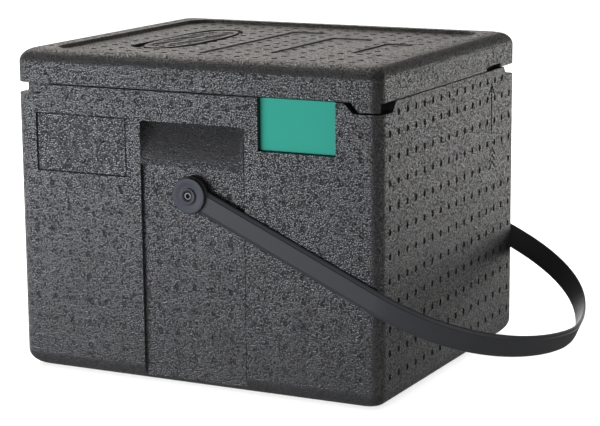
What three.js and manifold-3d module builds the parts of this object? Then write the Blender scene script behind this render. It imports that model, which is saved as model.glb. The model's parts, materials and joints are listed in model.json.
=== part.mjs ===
// Insulated food carrier: a top-loading bead-foam box with a lift-off lid and
// one wide carrying strap that swings on a pivot in each long side.
// Millimetres, +Z up. Origin: centre of the underside. The front long side
// faces -Y, the right end faces +X, and the strap lies out past the right end.

import * as THREE from 'three';
import { mergeVertices } from 'three/addons/utils/BufferGeometryUtils.js';
import Module from 'manifold-3d';

const wasm = await Module();
wasm.setup();

// ---------------------------------------------------------------- dimensions
const WIDTH = 390;               // X, outside
const DEPTH = 330;               // Y, outside
const HEIGHT = 316;              // Z, lid fitted
const SEAM_Z = 283;              // top face of the body's rim
const SEAM_GAP = 0.5;            // lid's underside stands this far off the rim
const CORNER_R = 11;             // upright edges
const BOTTOM_R = 16;             // edge round the underside
const TOP_R = 13;                // edge round the lid

const CAVITY_X = 338;
const CAVITY_Y = 278;
const CAVITY_FLOOR = 26;
const CAVITY_R = 12;

const PLUG_DEPTH = 9;            // lid's plug reaches this far below the rim
const PLUG_CLEAR = 1.2;          // clearance to the cavity wall at the rim
const LID_PANEL_X = 337;         // sunken panel in the lid, at the rim
const LID_PANEL_Y = 290;
const LID_PANEL_SLOPE = 8;       // its wall slopes in by this much
const LID_PANEL_DROP = 4;

const NOTCH_Z = 273.3;           // floor of the corner notches
const TONGUE_Z = 275.0;          // lowest face of the lid's tongues
const NOTCH_X_TOP = 157.3;       // notch, along the long side, at the rim
const NOTCH_X_LOW = 167.7;
const NOTCH_Y_TOP = 132.3;       // notch, along the end, at the rim
const NOTCH_Y_LOW = 139.4;

const SCOOP_HALF_X = 55.5;       // hand scoop in each long side
const SCOOP_TOP_Z = 254.3;
const SCOOP_LOW_Z = 205;
const SCOOP_DEEP = 16.5;
const PANEL_HALF_X = 55.3;       // shallow centre panel below the scoop
const PANEL_DEEP = 3.5;

const FIELD_X = [-172.4, -71.3]; // plain label field, left of the scoop
const FIELD_Z = [198.6, 255.5];
const FIELD_DEEP = 1.2;
const LABEL_X = [69.7, 149.7];   // coloured label field, right of the scoop
const LABEL_Z = 233.4;
const LABEL_DEEP = 6.2;
const LABEL_T = 1.4;

const PRY_Y = [85, 123];         // finger slot under the lid, right end
const PRY_H = 5;
const PRY_DEEP = 12;

const PIVOT_Z = 187;
const STRAP_DROP_DEG = 24;       // strap's arms lie this far below level
const STRAP_W = 23;
const STRAP_T = 3;
const STRAP_Y = 167.4;           // mid thickness of the arms
const STRAP_STRAIGHT = 205.7;
const STRAP_REACH = 347;
const STRAP_K1 = 117.6;
const STRAP_K2 = 32.4;
const STRAP_TOE = -0.012;        // arms lean in by this angle where they bend
const EYE_R = 18.4;
const EYE_BORE_R = 6.3;

const DISC_R = 17.25;
const DISC_Y = [169.2, 172.2];
const DISC_BORE_R = 6.2;
const COLLAR_R = 7.8;
const COLLAR_BARREL_R = 5.9;
const COLLAR_Y = [169.5, 172.5, 173.2];  // barrel end, flange back, flange face
const POCKET_R = 4.5;
const POCKET_Y = 170.6;
const SCREW_HEAD_R = 4.1;
const SCREW_HEAD_Y = [170.9, 172.6];
const SCREW_R = 2.0;
const SCREW_END_Y = 146;
const SOCKET_AF = 4.0;
const SOCKET_DEEP = 1.1;
const SPACER_R = 6.0;
const SPACER_FLANGE_R = 10;
const SPACER_Y = [161.8, 165.3, 168.9];  // foot, flange face, barrel end
const SPACER_BORE_R = 2.4;
const SLEEVE_R = 5.5;
const SLEEVE_BORE_R = 2.4;
const SLEEVE_END_Y = 161.2;
const FLANGE_R = 17;
const FLANGE_Y = [139.3, 142.2];
const WALL_CLEAR = 0.3;

// ------------------------------------------------------------------- helpers
function solidOf(geometry) {
  const g = geometry.index ? geometry.toNonIndexed() : geometry.clone();
  g.deleteAttribute('normal');
  g.deleteAttribute('uv');
  const m = mergeVertices(g, 1e-4);
  return new wasm.Manifold(new wasm.Mesh({
    numProp: 3,
    vertProperties: new Float32Array(m.attributes.position.array),
    triVerts: new Uint32Array(m.index.array),
  }));
}

function geometryOf(solid) {
  const mesh = solid.getMesh();
  const g = new THREE.BufferGeometry();
  const n = mesh.vertProperties.length / mesh.numProp;
  const p = new Float32Array(n * 3);
  for (let i = 0; i < n; i++) {
    for (let k = 0; k < 3; k++) p[i * 3 + k] = mesh.vertProperties[i * mesh.numProp + k];
  }
  g.setAttribute('position', new THREE.BufferAttribute(p, 3));
  g.setIndex(new THREE.BufferAttribute(new Uint32Array(mesh.triVerts), 1));
  g.computeVertexNormals();
  return g;
}

// Closed skin through rings of equal point count, capped by fans.
function loft(rings) {
  const n = rings[0].length;
  const pos = [];
  const idx = [];
  for (const r of rings) for (const p of r) pos.push(p[0], p[1], p[2]);
  for (let k = 0; k + 1 < rings.length; k++) {
    for (let i = 0; i < n; i++) {
      const j = (i + 1) % n;
      const a = k * n + i, b = k * n + j, c = (k + 1) * n + j, d = (k + 1) * n + i;
      idx.push(a, b, c, a, c, d);
    }
  }
  const last = (rings.length - 1) * n;
  for (let i = 1; i + 1 < n; i++) {
    idx.push(0, i + 1, i);
    idx.push(last, last + i, last + i + 1);
  }
  const g = new THREE.BufferGeometry();
  g.setAttribute('position', new THREE.BufferAttribute(new Float32Array(pos), 3));
  g.setIndex(idx);
  return g;
}

// Rounded rectangle in X and Y, counterclockwise from above.
function ring(hx, hy, r, z, seg = 5) {
  const out = [];
  const q = [[1, 1, 0], [-1, 1, 90], [-1, -1, 180], [1, -1, 270]];
  for (const [sx, sy, a0] of q) {
    for (let i = 0; i <= seg; i++) {
      const a = ((a0 + (90 * i) / seg) * Math.PI) / 180;
      out.push([sx * (hx - r) + r * Math.cos(a), sy * (hy - r) + r * Math.sin(a), z]);
    }
  }
  return out;
}

// Outline in X and Z pushed from y0 to y1.
function slabXZ(points, y0, y1) {
  const s = new THREE.Shape(points.map(([x, z]) => new THREE.Vector2(x, z)));
  const g = new THREE.ExtrudeGeometry(s, { depth: y1 - y0, bevelEnabled: false, curveSegments: 6 });
  g.rotateX(Math.PI / 2);
  g.translate(0, y1, 0);
  return g;
}

// Outline in Y and Z pushed from x0 to x1.
function slabYZ(points, x0, x1) {
  const s = new THREE.Shape(points.map(([y, z]) => new THREE.Vector2(y, z)));
  const g = new THREE.ExtrudeGeometry(s, { depth: x1 - x0, bevelEnabled: false, curveSegments: 6 });
  const m = new THREE.Matrix4().makeBasis(
    new THREE.Vector3(0, 1, 0), new THREE.Vector3(0, 0, 1), new THREE.Vector3(1, 0, 0));
  g.applyMatrix4(m);
  g.translate(x0, 0, 0);
  return g;
}

function box(x0, x1, y0, y1, z0, z1) {
  const g = new THREE.BoxGeometry(x1 - x0, y1 - y0, z1 - z0);
  g.translate((x0 + x1) / 2, (y0 + y1) / 2, (z0 + z1) / 2);
  return g;
}

// Turned piece on the front pivot. Profile points are [radius, distance out
// from the middle of the box], and the piece comes out on the -Y side.
function turned(profile, seg = 32) {
  const pts = profile.map(([r, y]) => new THREE.Vector2(r, y));
  pts.push(pts[0].clone());
  const g = new THREE.LatheGeometry(pts, seg);
  const m = new THREE.Matrix4().makeBasis(
    new THREE.Vector3(1, 0, 0), new THREE.Vector3(0, -1, 0), new THREE.Vector3(0, 0, -1));
  g.applyMatrix4(m);
  g.translate(0, 0, PIVOT_Z);
  return fixWinding(g);
}

// Turns faces outward when the enclosed volume comes out negative.
function fixWinding(geometry) {
  const g = geometry.index ? geometry.toNonIndexed() : geometry;
  const p = g.attributes.position.array;
  let v = 0;
  for (let i = 0; i < p.length; i += 9) {
    v += p[i] * (p[i + 4] * p[i + 8] - p[i + 5] * p[i + 7])
       - p[i + 1] * (p[i + 3] * p[i + 8] - p[i + 5] * p[i + 6])
       + p[i + 2] * (p[i + 3] * p[i + 7] - p[i + 4] * p[i + 6]);
  }
  if (v < 0) {
    for (let i = 0; i < p.length; i += 9) {
      for (let k = 0; k < 3; k++) {
        const t = p[i + 3 + k]; p[i + 3 + k] = p[i + 6 + k]; p[i + 6 + k] = t;
      }
    }
  }
  return g;
}

const make = (geometry) => solidOf(fixWinding(geometry));

// Half turn about Z carries the front pieces to the far side.
function halfTurn(geometry) {
  const g = geometry.clone();
  g.rotateZ(Math.PI);
  return g;
}

function cylinderY(r, y0, y1, z, seg = 32) {
  const g = new THREE.CylinderGeometry(r, r, y1 - y0, seg);
  g.translate(0, (y0 + y1) / 2, z);
  return g;
}

// ---------------------------------------------------------------------- body
function bodyShell() {
  const rings = [];
  const steps = 6;
  for (let i = 0; i <= steps; i++) {
    const a = (Math.PI / 2) * (i / steps);
    const inset = BOTTOM_R * (1 - Math.sin(a));
    rings.push(ring(WIDTH / 2 - inset, DEPTH / 2 - inset, CORNER_R, BOTTOM_R * (1 - Math.cos(a))));
  }
  rings.push(ring(WIDTH / 2, DEPTH / 2, CORNER_R, SEAM_Z));
  return make(loft(rings));
}

function cavity() {
  const hx = CAVITY_X / 2, hy = CAVITY_Y / 2, f = 7;
  const rings = [];
  for (let i = 0; i <= 3; i++) {
    const a = (Math.PI / 2) * (i / 3);
    const inset = f * (1 - Math.sin(a));
    rings.push(ring(hx - inset, hy - inset, CAVITY_R - inset * 0.6, CAVITY_FLOOR + f * (1 - Math.cos(a))));
  }
  rings.push(ring(hx, hy, CAVITY_R, SEAM_Z + 5));
  return make(loft(rings));
}

function handScoop() {
  const f = -DEPTH / 2;
  const side = [
    [f - 4, SCOOP_TOP_Z], [f, SCOOP_TOP_Z], [f + 11.5, SCOOP_TOP_Z - 0.6],
    [f + 15.4, SCOOP_TOP_Z - 3.2], [f + SCOOP_DEEP, SCOOP_TOP_Z - 8],
    [f + 15.8, SCOOP_TOP_Z - 17], [f + 13.4, SCOOP_TOP_Z - 27],
    [f + 9.6, SCOOP_TOP_Z - 36], [f + 5.4, SCOOP_LOW_Z + 6], [f + 2.6, SCOOP_LOW_Z + 1.6],
    [f, SCOOP_LOW_Z], [f - 4, SCOOP_LOW_Z],
  ];
  const along = make(slabYZ(side, -SCOOP_HALF_X, SCOOP_HALF_X));
  const r = 12, pts = [];
  pts.push([SCOOP_HALF_X, SCOOP_TOP_Z + 2]);
  pts.push([-SCOOP_HALF_X, SCOOP_TOP_Z + 2]);
  for (let i = 0; i <= 5; i++) {
    const a = (Math.PI / 2) * (i / 5);
    pts.push([-SCOOP_HALF_X + r * (1 - Math.cos(a)), SCOOP_LOW_Z - 1 + r * (1 - Math.sin(a))]);
  }
  for (let i = 5; i >= 0; i--) {
    const a = (Math.PI / 2) * (i / 5);
    pts.push([SCOOP_HALF_X - r * (1 - Math.cos(a)), SCOOP_LOW_Z - 1 + r * (1 - Math.sin(a))]);
  }
  const outline = make(slabXZ(pts, f - 6, f + 30));
  return along.intersect(outline);
}

function centrePanel() {
  const f = -DEPTH / 2;
  return make(box(-PANEL_HALF_X, PANEL_HALF_X, f - 5, f + PANEL_DEEP, -5, SCOOP_LOW_Z + 8));
}

// Corner notch in the rim: x > 0 and y < 0 corner; other corners by mirror.
function cornerNotch(sx, sy) {
  const big = 220;
  const alongSide = [
    [NOTCH_X_TOP, SEAM_Z + 1], [NOTCH_X_TOP, SEAM_Z], [NOTCH_X_LOW, NOTCH_Z],
    [big, NOTCH_Z], [big, SEAM_Z + 1],
  ].map(([x, z]) => [sx * x, z]);
  const alongEnd = [
    [NOTCH_Y_TOP, SEAM_Z + 1], [NOTCH_Y_TOP, SEAM_Z], [NOTCH_Y_LOW, NOTCH_Z],
    [big, NOTCH_Z], [big, SEAM_Z + 1],
  ].map(([y, z]) => [sy * y, z]);
  return make(slabXZ(alongSide, -big, big)).intersect(make(slabYZ(alongEnd, -big, big)));
}

function body() {
  let s = bodyShell().subtract(cavity());
  const spin = (g) => { const m = geometryOf(g); return make(halfTurn(m)); };
  const scoop = handScoop();
  const panel = centrePanel();
  s = s.subtract(scoop).subtract(spin(scoop)).subtract(panel).subtract(spin(panel));
  for (const sx of [1, -1]) for (const sy of [1, -1]) s = s.subtract(cornerNotch(sx, sy));
  const f = -DEPTH / 2;
  s = s.subtract(make(box(FIELD_X[0], FIELD_X[1], f - 5, f + FIELD_DEEP, FIELD_Z[0], FIELD_Z[1])));
  s = s.subtract(make(box(LABEL_X[0], LABEL_X[1], f - 5, f + LABEL_DEEP, LABEL_Z, SEAM_Z + 2)));
  const bore = SLEEVE_R + WALL_CLEAR, pocket = FLANGE_R + WALL_CLEAR;
  s = s.subtract(make(cylinderY(bore, -DEPTH / 2 - 5, DEPTH / 2 + 5, PIVOT_Z)));
  s = s.subtract(make(cylinderY(pocket, -FLANGE_Y[1] - WALL_CLEAR, FLANGE_Y[1] + WALL_CLEAR, PIVOT_Z, 40)));
  return s;
}

// ----------------------------------------------------------------------- lid
function lid() {
  const z0 = SEAM_Z + SEAM_GAP;
  const rings = [ring(WIDTH / 2, DEPTH / 2, CORNER_R, z0)];
  const steps = 6;
  for (let i = 0; i <= steps; i++) {
    const a = (Math.PI / 2) * (i / steps);
    const inset = TOP_R * (1 - Math.cos(a));
    rings.push(ring(WIDTH / 2 - inset, DEPTH / 2 - inset, CORNER_R, HEIGHT - TOP_R * (1 - Math.sin(a))));
  }
  let s = make(loft(rings));
  const px = LID_PANEL_X / 2, py = LID_PANEL_Y / 2;
  s = s.subtract(make(loft([
    ring(px - LID_PANEL_SLOPE, py - LID_PANEL_SLOPE, 16, HEIGHT - LID_PANEL_DROP, 7),
    ring(px, py, 24, HEIGHT + 0.01, 7),
    ring(px, py, 24, HEIGHT + 5, 7),
  ])));
  const hx = CAVITY_X / 2 - PLUG_CLEAR, hy = CAVITY_Y / 2 - PLUG_CLEAR;
  s = s.add(make(loft([
    ring(hx - 3, hy - 3, CAVITY_R - 2, SEAM_Z - PLUG_DEPTH),
    ring(hx, hy, CAVITY_R, SEAM_Z - PLUG_DEPTH + 4),
    ring(hx, hy, CAVITY_R, z0 + 4),
  ])));

  // Tongues that drop into the corner notches.
  const tongue = (xTop, xLow, xEnd, y0, y1) => make(slabXZ(
    [[xTop, z0 + 2], [xLow, TONGUE_Z], [xEnd, TONGUE_Z], [xEnd, z0 + 2]], y0, y1));
  const outline = make(loft([
    ring(WIDTH / 2, DEPTH / 2, CORNER_R, 260), ring(WIDTH / 2, DEPTH / 2, CORNER_R, z0 + 3)]));
  const inY = 6;
  const f = DEPTH / 2;
  const parts = [
    tongue(163.5, 172.8, 200, -f - 2, -f + inY),
    tongue(-155.2, -166.4, -180, -f - 2, -f + inY),
    tongue(-163.5, -172.8, -200, f - inY, f + 2),
    tongue(155.2, 166.4, 180, f - inY, f + 2),
  ];
  for (const p of parts) s = s.add(p.intersect(outline));
  s = s.subtract(make(box(WIDTH / 2 - PRY_DEEP, WIDTH / 2 + 5, PRY_Y[0], PRY_Y[1], SEAM_Z - 1, SEAM_Z + PRY_H)));
  return s;
}

// --------------------------------------------------------------------- strap
const drop = (STRAP_DROP_DEG * Math.PI) / 180;
const along = new THREE.Vector3(Math.cos(drop), 0, -Math.sin(drop));
const across = new THREE.Vector3(Math.sin(drop), 0, Math.cos(drop));

// Mid line of the loop as [reach, y], from the front eye round to the far eye.
function strapLine() {
  const half = [];
  const p0 = [STRAP_STRAIGHT, STRAP_Y];
  const p1 = [p0[0] + STRAP_K1 * Math.cos(STRAP_TOE), p0[1] + STRAP_K1 * Math.sin(STRAP_TOE)];
  const p2 = [STRAP_REACH, STRAP_K2];
  const p3 = [STRAP_REACH, 0];
  for (const s of [0, 60, 130]) half.push([s, STRAP_Y]);
  const n = 22;
  for (let i = 0; i <= n; i++) {
    const t = i / n, u = 1 - t;
    half.push([0, 1].map((k) =>
      u * u * u * p0[k] + 3 * u * u * t * p1[k] + 3 * u * t * t * p2[k] + t * t * t * p3[k]));
  }
  const front = half.map(([s, y]) => [s, -y]);
  const back = half.slice(0, -1).reverse();
  return front.concat(back);
}

function strap() {
  const line = strapLine();
  const rings = [];
  for (let i = 0; i < line.length; i++) {
    const a = line[Math.max(0, i - 1)], b = line[Math.min(line.length - 1, i + 1)];
    let tx = b[0] - a[0], ty = b[1] - a[1];
    const l = Math.hypot(tx, ty);
    tx /= l; ty /= l;
    const nx = ty, ny = -tx;                       // outward side of the loop
    const at = (o, w) => {
      const s = line[i][0] + nx * o, y = line[i][1] + ny * o;
      return [along.x * s + across.x * w, y, PIVOT_Z + along.z * s + across.z * w];
    };
    const t = STRAP_T / 2, w = STRAP_W / 2;
    rings.push([at(t, -w), at(t, w), at(-t, w), at(-t, -w)]);
  }
  let s = make(loft(rings));
  for (const side of [-1, 1]) {
    const y0 = side * STRAP_Y - STRAP_T / 2, y1 = side * STRAP_Y + STRAP_T / 2;
    s = s.add(make(cylinderY(EYE_R, y0, y1, PIVOT_Z, 44)));
  }
  s = s.subtract(make(cylinderY(EYE_BORE_R, -200, 200, PIVOT_Z, 40)));
  return s;
}

// ------------------------------------------------------------ pivot hardware
const discProfile = [
  [DISC_BORE_R, DISC_Y[0]], [DISC_R - 0.6, DISC_Y[0]], [DISC_R, DISC_Y[0] + 0.6],
  [DISC_R, DISC_Y[1] - 1.2], [DISC_R - 0.5, DISC_Y[1] - 0.4], [DISC_R - 1.4, DISC_Y[1]],
  [DISC_BORE_R, DISC_Y[1]],
];
const collarProfile = [
  [SPACER_BORE_R, COLLAR_Y[0]], [COLLAR_BARREL_R, COLLAR_Y[0]], [COLLAR_BARREL_R, COLLAR_Y[1]],
  [COLLAR_R, COLLAR_Y[1]], [COLLAR_R, COLLAR_Y[2] - 0.3], [COLLAR_R - 0.4, COLLAR_Y[2]],
  [POCKET_R, COLLAR_Y[2]], [POCKET_R, POCKET_Y], [SPACER_BORE_R, POCKET_Y],
];
const spacerProfile = [
  [SPACER_BORE_R, SPACER_Y[0]], [SPACER_FLANGE_R, SPACER_Y[0]], [SPACER_FLANGE_R, SPACER_Y[1]],
  [SPACER_R, SPACER_Y[1]], [SPACER_R, SPACER_Y[2]], [SPACER_BORE_R, SPACER_Y[2]],
];
const sleeveProfile = [
  [SLEEVE_BORE_R, FLANGE_Y[0]], [FLANGE_R, FLANGE_Y[0]], [FLANGE_R, FLANGE_Y[1]],
  [SLEEVE_R, FLANGE_Y[1]], [SLEEVE_R, SLEEVE_END_Y], [SLEEVE_BORE_R, SLEEVE_END_Y],
];

function screw() {
  const pts = [
    [0, SCREW_END_Y], [SCREW_R, SCREW_END_Y], [SCREW_R, SCREW_HEAD_Y[0]],
    [SCREW_HEAD_R, SCREW_HEAD_Y[0]], [SCREW_HEAD_R, SCREW_HEAD_Y[1] - 0.3],
    [SCREW_HEAD_R - 0.3, SCREW_HEAD_Y[1]], [0, SCREW_HEAD_Y[1]],
  ].map(([r, y]) => new THREE.Vector2(r, y));
  const g = new THREE.LatheGeometry(pts, 24);
  const m = new THREE.Matrix4().makeBasis(
    new THREE.Vector3(1, 0, 0), new THREE.Vector3(0, -1, 0), new THREE.Vector3(0, 0, -1));
  g.applyMatrix4(m);
  g.translate(0, 0, PIVOT_Z);
  const hex = [];
  for (let i = 0; i < 6; i++) {
    const a = (Math.PI / 3) * i + Math.PI / 6, r = SOCKET_AF / 2 / Math.cos(Math.PI / 6);
    hex.push([r * Math.cos(a), PIVOT_Z + r * Math.sin(a)]);
  }
  const socket = make(slabXZ(hex, -SCREW_HEAD_Y[1] - 2, -SCREW_HEAD_Y[1] + SOCKET_DEEP));
  return make(g).subtract(socket);
}

// --------------------------------------------------------------------- scene
const material = (name, color, roughness, metalness = 0) =>
  new THREE.MeshStandardMaterial({ name, color, roughness, metalness });

const foam = material('bead_foam', 0x55555b, 0.85);
const lidFoam = material('bead_foam_lid', 0x5a5854, 0.85);
const strapPlastic = material('strap_plastic', 0x2e3134, 0.55);
const discPlastic = material('disc_plastic', 0x4a5156, 0.45);
const steel = material('steel', 0xb5b5b2, 0.35, 1);
const nylon = material('nylon', 0x222426, 0.6);
const labelPlastic = material('label_plastic', 0x3ca591, 0.5);

const carrier = new THREE.Group();
carrier.name = 'insulated_food_carrier';

function add(name, geometry, mat) {
  const mesh = new THREE.Mesh(geometry, mat);
  mesh.name = name;
  carrier.add(mesh);
  return mesh;
}

add('body', geometryOf(body()), foam);
add('lid', geometryOf(lid()), lidFoam);
add('strap_handle', geometryOf(strap()), strapPlastic);
add('label_plate', box(
  LABEL_X[0] + WALL_CLEAR, LABEL_X[1] - WALL_CLEAR,
  -DEPTH / 2 + LABEL_DEEP - WALL_CLEAR - LABEL_T, -DEPTH / 2 + LABEL_DEEP - WALL_CLEAR,
  LABEL_Z + WALL_CLEAR, SEAM_Z - WALL_CLEAR), labelPlastic);

const pieces = [
  ['pivot_disc', turned(discProfile, 48), discPlastic],
  ['collar', turned(collarProfile, 36), discPlastic],
  ['screw', geometryOf(screw()), steel],
  ['strap_spacer', turned(spacerProfile, 32), nylon],
  ['flanged_sleeve', turned(sleeveProfile, 40), nylon],
];
for (const [name, geometry, mat] of pieces) {
  add(`${name}_front`, geometry, mat);
  const far = add(`${name}_back`, geometry.clone(), mat);
  far.rotation.z = Math.PI;
}

export default carrier;
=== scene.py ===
# Insulated food carrier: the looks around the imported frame.
# Shapes are worked out in millimetres and scaled to metres at the end.

import json
import math

import bmesh
import bpy
import numpy as np
from mathutils import Matrix, Vector, kdtree

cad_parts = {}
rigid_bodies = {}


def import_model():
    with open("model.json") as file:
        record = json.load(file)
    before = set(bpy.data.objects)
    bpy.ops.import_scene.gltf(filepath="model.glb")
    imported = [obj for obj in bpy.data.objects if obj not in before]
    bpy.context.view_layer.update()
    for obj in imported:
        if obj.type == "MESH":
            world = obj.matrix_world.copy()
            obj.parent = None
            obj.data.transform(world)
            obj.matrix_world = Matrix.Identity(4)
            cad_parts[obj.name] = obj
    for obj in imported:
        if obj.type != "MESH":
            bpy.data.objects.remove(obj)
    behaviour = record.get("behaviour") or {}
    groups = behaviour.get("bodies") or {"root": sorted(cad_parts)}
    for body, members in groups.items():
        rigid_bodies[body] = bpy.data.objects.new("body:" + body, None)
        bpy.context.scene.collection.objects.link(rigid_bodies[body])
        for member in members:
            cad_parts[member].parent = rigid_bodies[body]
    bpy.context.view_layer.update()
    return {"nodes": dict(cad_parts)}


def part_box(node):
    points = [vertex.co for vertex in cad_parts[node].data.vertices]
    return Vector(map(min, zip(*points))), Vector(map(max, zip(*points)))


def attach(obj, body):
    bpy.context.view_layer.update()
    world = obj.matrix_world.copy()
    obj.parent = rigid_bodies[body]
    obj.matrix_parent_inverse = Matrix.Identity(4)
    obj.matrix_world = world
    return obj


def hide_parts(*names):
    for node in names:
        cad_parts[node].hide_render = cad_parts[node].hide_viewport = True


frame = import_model()
scene = bpy.context.scene

# ---------------------------------------------------------------- dimensions
W, D, H = 195.0, 165.0, 316.0        # half width, half depth, height
SEAM = 283.0
GAP = 0.5
R_CORNER = 11.0
R_BOTTOM = 16.0
R_TOP = 13.0
CAV_X, CAV_Y, CAV_Z, CAV_R = 169.0, 139.0, 26.0, 12.0
PIVOT_Z = 187.0
PIT_R = 2.7
PIT_DEEP = 1.2


# ------------------------------------------------------------------- helpers
def mesh_object(name, verts, faces):
    me = bpy.data.meshes.new(name)
    me.from_pydata([tuple(map(float, v)) for v in verts], [], faces)
    bm = bmesh.new()
    bm.from_mesh(me)
    bmesh.ops.remove_doubles(bm, verts=bm.verts, dist=1e-4)
    bmesh.ops.recalc_face_normals(bm, faces=bm.faces)
    bm.to_mesh(me)
    bm.free()
    ob = bpy.data.objects.new(name, me)
    scene.collection.objects.link(ob)
    return ob


def loft(rings):
    """Closed skin through rings of equal point count."""
    n = len(rings[0])
    verts = [p for r in rings for p in r]
    faces = []
    for k in range(len(rings) - 1):
        for i in range(n):
            j = (i + 1) % n
            faces.append((k * n + i, k * n + j, (k + 1) * n + j, (k + 1) * n + i))
    faces.append(tuple(range(n - 1, -1, -1)))
    last = (len(rings) - 1) * n
    faces.append(tuple(last + i for i in range(n)))
    return verts, faces


def rounded(hx, hy, r, seg=8, cx=0.0, cy=0.0):
    """Rounded rectangle, counterclockwise; r is one radius or four (++, -+, --, +-)."""
    rs = [r] * 4 if isinstance(r, (int, float)) else list(r)
    out = []
    for k, (sx, sy) in enumerate(((1, 1), (-1, 1), (-1, -1), (1, -1))):
        rad = max(0.02, min(rs[k], hx - 0.01, hy - 0.01))
        for i in range(seg + 1):
            a = math.radians(90 * k + 90 * i / seg)
            out.append((cx + sx * (hx - rad) + rad * math.cos(a),
                        cy + sy * (hy - rad) + rad * math.sin(a)))
    return out


def ring(hx, hy, r, z, seg=8):
    return [(x, y, z) for x, y in rounded(hx, hy, r, seg)]


def joined(shapes):
    """Several closed skins that don't touch, as one list of vertices and faces."""
    verts, faces = [], []
    for v, f in shapes:
        base = len(verts)
        verts += list(v)
        faces += [tuple(i + base for i in face) for face in f]
    return verts, faces


def boolean(target, shape, operation="DIFFERENCE"):
    cutter = mesh_object("cutter", *shape)
    m = target.modifiers.new("cut", "BOOLEAN")
    m.operation = operation
    m.solver = "MANIFOLD"
    m.object = cutter
    dg = bpy.context.evaluated_depsgraph_get()
    made = bpy.data.meshes.new_from_object(target.evaluated_get(dg), depsgraph=dg)
    target.modifiers.clear()
    if len(made.polygons) < 4:
        raise RuntimeError("a cut failed on " + target.name)
    old = target.data
    target.data = made
    bpy.data.meshes.remove(old)
    data = cutter.data
    bpy.data.objects.remove(cutter)
    bpy.data.meshes.remove(data)
    return target


def settle(ob, angle=33.0, dissolve=0.25, vents=()):
    """Cleans a cut mesh, scales it to metres and shades it. Faces inside a vent pit take the second material slot,
    or the third where the vent faces front or back; a vent is (centre on the face, inward way, radius)."""
    me = ob.data
    bm = bmesh.new()
    bm.from_mesh(me)
    bmesh.ops.remove_doubles(bm, verts=bm.verts, dist=0.003)
    bmesh.ops.dissolve_degenerate(bm, edges=bm.edges, dist=0.003)
    if dissolve:
        bmesh.ops.dissolve_limit(bm, angle_limit=math.radians(dissolve),
                                 verts=bm.verts, edges=bm.edges)
    bm.to_mesh(me)
    bm.free()
    if vents:
        tree = kdtree.KDTree(len(vents))
        for i, (c, _, _) in enumerate(vents):
            tree.insert(c, i)
        tree.balance()
        for poly in me.polygons:
            _, i, dist = tree.find(poly.center)
            c, inward, r = vents[i]
            if dist < r + 2.5:
                v = poly.center - Vector(c)
                deep = v.dot(Vector(inward))
                if deep > 0.1 and (v - deep * Vector(inward)).length < r + 0.05:
                    poly.material_index = 2 if abs(inward[1]) > 0.5 else 1
    me.transform(Matrix.Scale(0.001, 4))
    me.polygons.foreach_set("use_smooth", [True] * len(me.polygons))
    me.set_sharp_from_angle(angle=math.radians(angle))
    me.update()
    m = ob.modifiers.new("normals", "WEIGHTED_NORMAL")
    m.mode = "FACE_AREA"
    m.keep_sharp = True
    m.weight = 50
    return ob


# Places on the outside: u and v run along a face, w points out of it.
def on_front(u, v, w):
    return (u, -D - w, v)


def on_back(u, v, w):
    return (-u, D + w, v)


def on_right(u, v, w):
    return (W + w, u, v)


def on_left(u, v, w):
    return (-W - w, -u, v)


def flat_at(z):
    return lambda u, v, w: (u, v, z + w)


def sunk(place, cx, cy, hx, hy, r, depth, run=0.25, lip=0.35, seg=5, fillet=0.5):
    """Cutter for a recess with a small chamfer at its mouth and a filleted floor."""
    steps = [(lip, 1.0), (lip, 0.0), (0.0, -min(lip, depth * 0.5))]
    f = min(fillet, depth * 0.45)
    for i in range(4):
        a = math.radians(90 * i / 3)
        steps.append((-run - f * (1 - math.cos(a)), -depth + f * (1 - math.sin(a))))
    rings = []
    for off, w in steps:
        rs = [max(0.05, q + off) for q in ([r] * 4 if isinstance(r, (int, float)) else r)]
        rings.append([place(x, y, w) for x, y in rounded(hx + off, hy + off, rs, seg, cx, cy)])
    return loft(rings)


def pit(place, cx, cy, r=PIT_R, depth=PIT_DEEP, n=14, turn=0.0, tall=1.0):
    rings = []
    for rad, w in ((r + 0.25, 0.6), (r + 0.15, 0.0), (r - 0.1, -0.25), (r - 0.3, -0.6 * depth), (r - 0.7, -depth)):
        rings.append([place(cx + rad * math.cos(turn + 2 * math.pi * i / n),
                            cy + tall * rad * math.sin(turn + 2 * math.pi * i / n), w)
                      for i in range(n)])
    return loft(rings)


def turned(profile, seg=72, side=-1, z=PIVOT_Z):
    """Closed turned piece on the pivot line; profile points are (radius, distance out)."""
    n = len(profile)
    verts, faces = [], []
    for i in range(seg):
        a = 2 * math.pi * i / seg
        for r, y in profile:
            verts.append((r * math.cos(a), side * y, z + r * math.sin(a)))
    for i in range(seg):
        j = (i + 1) % seg
        for k in range(n):
            m = (k + 1) % n
            faces.append((i * n + k, i * n + m, j * n + m, j * n + k))
    return verts, faces


def rod(r, y0, y1, z=PIVOT_Z, seg=48):
    rings = [[(r * math.cos(2 * math.pi * i / seg), y, z + r * math.sin(2 * math.pi * i / seg))
              for i in range(seg)] for y in (y0, y1)]
    return loft(rings)


def prism_y(points, y0, y1):
    return loft([[(x, y, z) for x, z in points] for y in (y0, y1)])


def prism_x(points, x0, x1):
    return loft([[(x, y, z) for y, z in points] for x in (x0, x1)])


def smooth_min(a, b, k):
    h = max(0.0, min(1.0, 0.5 + 0.5 * (b - a) / k))
    return b * (1 - h) + a * h - k * h * (1 - h)


def spin(shape):
    """Half turn about Z."""
    v, f = shape
    return [(-x, -y, z) for x, y, z in v], f


# ---------------------------------------------------------------------- body
SCOOP_X, SCOOP_T, SCOOP_B = 55.5, 254.3, 205.0
SCOOP_PROFILE = [(205.0, 0.0), (208.0, 0.2), (213.0, 0.78), (218.0, 1.65), (223.0, 2.8), (228.0, 4.2), (233.0, 5.95),
                 (238.0, 8.0), (243.0, 10.3), (248.0, 12.9), (252.0, 15.2), (256.0, 17.4)]


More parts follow.
